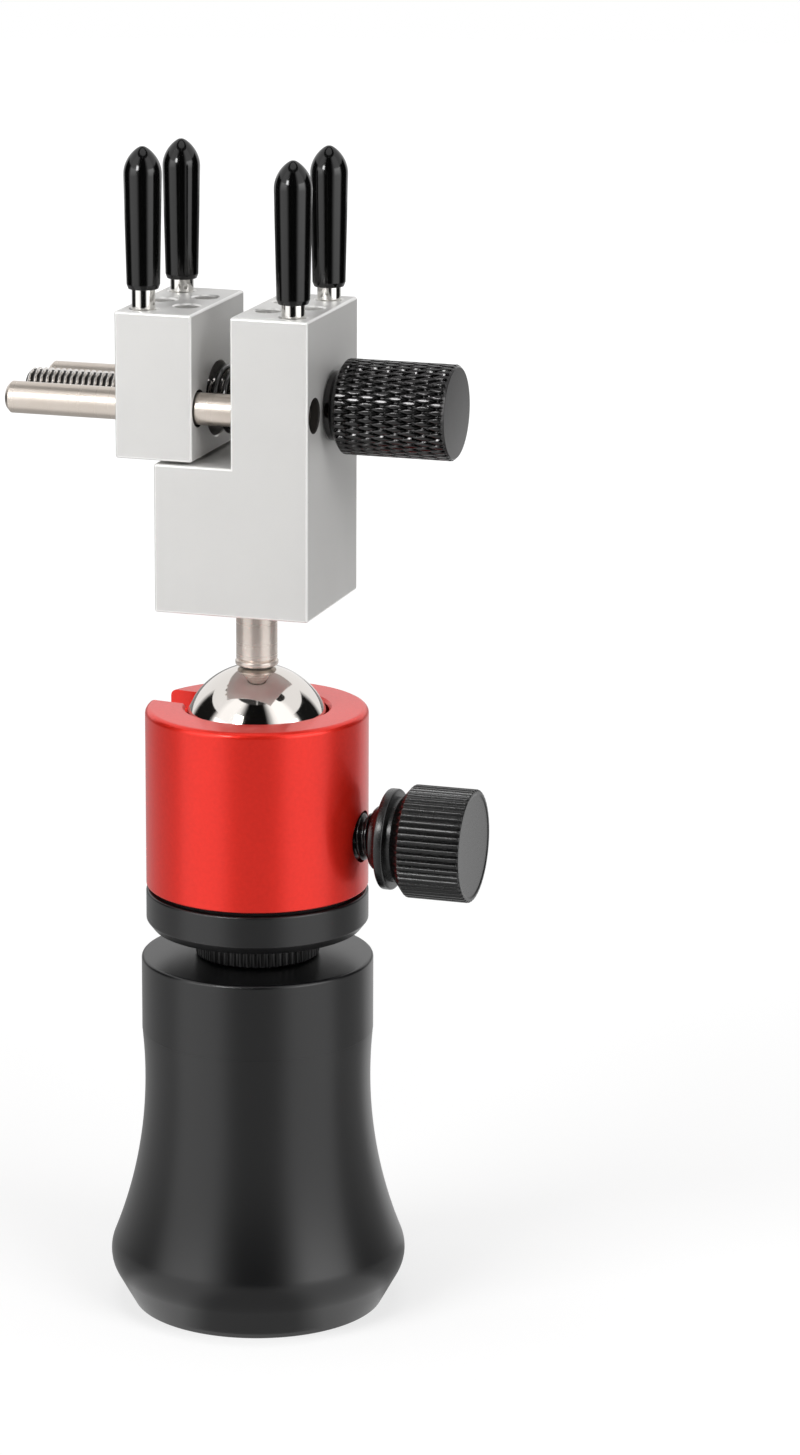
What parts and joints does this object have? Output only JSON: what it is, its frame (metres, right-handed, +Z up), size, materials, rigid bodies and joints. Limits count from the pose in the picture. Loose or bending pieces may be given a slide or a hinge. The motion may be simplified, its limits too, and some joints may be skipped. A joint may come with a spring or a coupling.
{
  "type": "mini bench vise on ball head",
  "caption": "Small pin vise with sliding jaw blocks and capped pins, on a lockable ball head that stands on a heavy turned foot.",
  "frame": {"origin": "centre of the foot's flat underside", "axes": "+Z up; +X along the guide rods towards the screw's knob; the vise's front faces -Y"},
  "size_m": [0.0587, 0.038, 0.15],
  "materials": {
    "black_foot": "satin black coat",
    "black_anodised": "satin black anodised",
    "black_steel": "blackened",
    "red_anodised": "satin red anodised",
    "satin_aluminium": "fine satin",
    "nickel_steel": "nickel plated, bright",
    "chrome": "mirror polished",
    "brass": "turned",
    "black_rubber": "matt",
    "black_sleeve": "glossy soft vinyl",
    "grey_acetal": "moulded"
  },
  "bodies": {
    "base": {"base_body": "black_foot", "foot_pad": "black_rubber", "base_stud": "nickel_steel"},
    "lock_ring": {"lock_ring": "black_anodised"},
    "head": {"head_plate": "black_anodised", "groove_washer": "black_rubber", "ball_housing": "red_anodised", "seat_spring": "nickel_steel", "ball_seat": "grey_acetal"},
    "clamp_plug": {"clamp_plug": "brass"},
    "clamp_knob": {"clamp_screw": "black_steel", "clamp_knob": "black_anodised"},
    "ball": {"ball": "chrome"},
    "vise": {"ball_stem": "nickel_steel", "fixed_jaw": "satin_aluminium", "guide_rod_front": "nickel_steel", "guide_rod_back": "nickel_steel", "jaw_spring": "black_steel"},
    "moving_jaw": {"moving_jaw": "satin_aluminium"},
    "drive_screw": {"drive_screw": "nickel_steel", "screw_knob": "black_anodised"},
    "pin_left_front": {"pin_left_front": "nickel_steel", "cap_left_front": "black_sleeve"},
    "pin_left_back": {"pin_left_back": "nickel_steel", "cap_left_back": "black_sleeve"},
    "pin_right_front": {"pin_right_front": "nickel_steel", "cap_right_front": "black_sleeve"},
    "pin_right_back": {"pin_right_back": "nickel_steel", "cap_right_back": "black_sleeve"}
  },
  "joints": [
    {"name": "lock_ring_turn", "type": "hinge", "parent": "base", "child": "lock_ring", "pos_m": [0, 0, 0.0466], "axis": [0, 0, 1], "range_deg": [-55, 0]},
    {"name": "head_pan", "type": "hinge", "parent": "base", "child": "head", "pos_m": [0, 0, 0.0502], "axis": [0, 0, 1], "range_deg": [-180, 180]},
    {"name": "clamp_travel", "type": "slide", "parent": "head", "child": "clamp_plug", "axis": [1, 0, 0], "range_m": [0, 0.00151]},
    {"name": "clamp_turn", "type": "hinge", "parent": "clamp_plug", "child": "clamp_knob", "pos_m": [0.01413, 0, 0.063], "axis": [1, 0, 0], "range_deg": [0, 540]},
    {"name": "ball_tilt", "type": "hinge", "parent": "head", "child": "ball", "pos_m": [0, 0, 0.07475], "axis": [-0.1392, -0.9903, 0], "range_deg": [-45, 90]},
    {"name": "vise_swivel", "type": "hinge", "parent": "ball", "child": "vise", "pos_m": [0, 0, 0.07475], "axis": [0, 0, 1], "continuous": true},
    {"name": "screw_turn", "type": "hinge", "parent": "vise", "child": "drive_screw", "pos_m": [0.01, 0, 0.118], "axis": [1, 0, 0], "range_deg": [-2200, 6700]},
    {"name": "jaw_slide", "type": "slide", "parent": "vise", "child": "moving_jaw", "axis": [1, 0, 0], "range_m": [-0.015, 0.0049]},
    {"name": "left_front_lift", "type": "slide", "parent": "moving_jaw", "child": "pin_left_front", "axis": [0, 0, 1], "range_m": [0, 0.012]},
    {"name": "left_back_lift", "type": "slide", "parent": "moving_jaw", "child": "pin_left_back", "axis": [0, 0, 1], "range_m": [0, 0.012]},
    {"name": "right_front_lift", "type": "slide", "parent": "vise", "child": "pin_right_front", "axis": [0, 0, 1], "range_m": [0, 0.012]},
    {"name": "right_back_lift", "type": "slide", "parent": "vise", "child": "pin_right_back", "axis": [0, 0, 1], "range_m": [0, 0.012]}
  ],
  "couplings": [
    {"joint": "jaw_slide", "follows": "screw_turn", "m_per_rad": -0.00012732},
    {"joint": "clamp_travel", "follows": "clamp_turn", "m_per_rad": 0.00015915}
  ]
}
